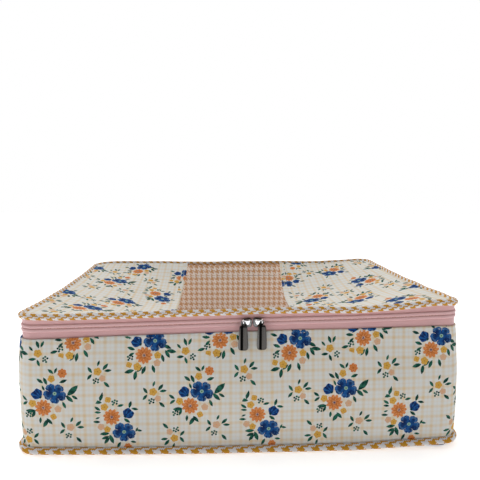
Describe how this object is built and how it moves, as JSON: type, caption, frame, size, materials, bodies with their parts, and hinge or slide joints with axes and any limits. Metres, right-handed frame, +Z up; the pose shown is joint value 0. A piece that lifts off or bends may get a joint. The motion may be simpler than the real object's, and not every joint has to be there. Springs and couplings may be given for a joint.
{
  "type": "zipped fabric project bag",
  "caption": "Low rectangular fabric bag with piped edges, a zipped lid with a clear window, and a pair of head-to-head zip sliders with bar pulls.",
  "frame": {"origin": "middle of the flat underside of the base panel", "axes": "+Z up, front with the two sliders faces -Y, +X to the right as seen from the front"},
  "size_m": [0.4414, 0.319, 0.147],
  "materials": {
    "printed_fabric": "quilted cotton with a floral print on a fine plaid",
    "lining": "plain-woven cotton in a small houndstooth",
    "piping_fabric": "bias-cut cotton in a small houndstooth",
    "filler_cord": "twisted cotton cord",
    "board": "dense stiffener board",
    "zip_tape": "woven polyester tape",
    "zip_coil": "dyed nylon coil",
    "clear_film": "soft clear vinyl film",
    "hem_fabric": "folded and topstitched cotton",
    "slider_metal": "bright nickel plating",
    "pull_metal": "polished dark nickel plating"
  },
  "bodies": {
    "tub": {"base_panel": "printed_fabric", "base_stiffener": "board", "base_lining": "lining", "base_piping": "piping_fabric", "base_piping_cord": "filler_cord", "side_gusset": "printed_fabric", "gusset_lining": "lining", "back_panel": "printed_fabric", "back_lining": "lining", "hinge_strip": "printed_fabric", "lower_zip_tape": "zip_tape", "lower_zip_coil": "zip_coil"},
    "lid": {"lid_panel_left": "printed_fabric", "lid_panel_right": "printed_fabric", "lid_lining_left": "lining", "lid_lining_right": "lining", "window_film": "clear_film", "window_hem_left": "hem_fabric", "window_hem_right": "hem_fabric", "lid_piping": "piping_fabric", "lid_piping_cord": "filler_cord", "upper_zip_tape": "zip_tape", "upper_zip_coil": "zip_coil"},
    "slider_left_body": {"slider_left": "slider_metal"},
    "slider_left_link_body": {"slider_left_link": "slider_metal"},
    "slider_left_pull_body": {"slider_left_pull": "pull_metal"},
    "slider_right_body": {"slider_right": "slider_metal"},
    "slider_right_link_body": {"slider_right_link": "slider_metal"},
    "slider_right_pull_body": {"slider_right_pull": "pull_metal"}
  },
  "joints": [
    {"name": "lid_hinge", "type": "hinge", "parent": "tub", "child": "lid", "pos_m": [0, 0.1562, 0.138], "axis": [-1, 0, 0], "range_deg": [0, 180]},
    {"name": "slider_left_travel", "type": "slide", "parent": "tub", "child": "slider_left_body", "axis": [-0.9996, 0, -0.027], "range_m": [0, 0.165]},
    {"name": "slider_right_travel", "type": "slide", "parent": "tub", "child": "slider_right_body", "axis": [0.9996, 0, 0.027], "range_m": [0, 0.165]},
    {"name": "link_left_lift", "type": "hinge", "parent": "slider_left_body", "child": "slider_left_link_body", "pos_m": [0.0003, -0.15415, 0.12956], "axis": [-1, 0, 0], "range_deg": [0, 135]},
    {"name": "link_right_lift", "type": "hinge", "parent": "slider_right_body", "child": "slider_right_link_body", "pos_m": [0.0181, -0.15415, 0.13004], "axis": [-1, 0, 0], "range_deg": [0, 135]},
    {"name": "pull_left_swing", "type": "hinge", "parent": "slider_left_link_body", "child": "slider_left_pull_body", "pos_m": [0.0003, -0.15415, 0.12681], "axis": [0, 1, 0], "range_deg": [-9, 60]},
    {"name": "pull_right_swing", "type": "hinge", "parent": "slider_right_link_body", "child": "slider_right_pull_body", "pos_m": [0.0181, -0.15415, 0.12729], "axis": [0, -1, 0], "range_deg": [-9, 60]}
  ]
}
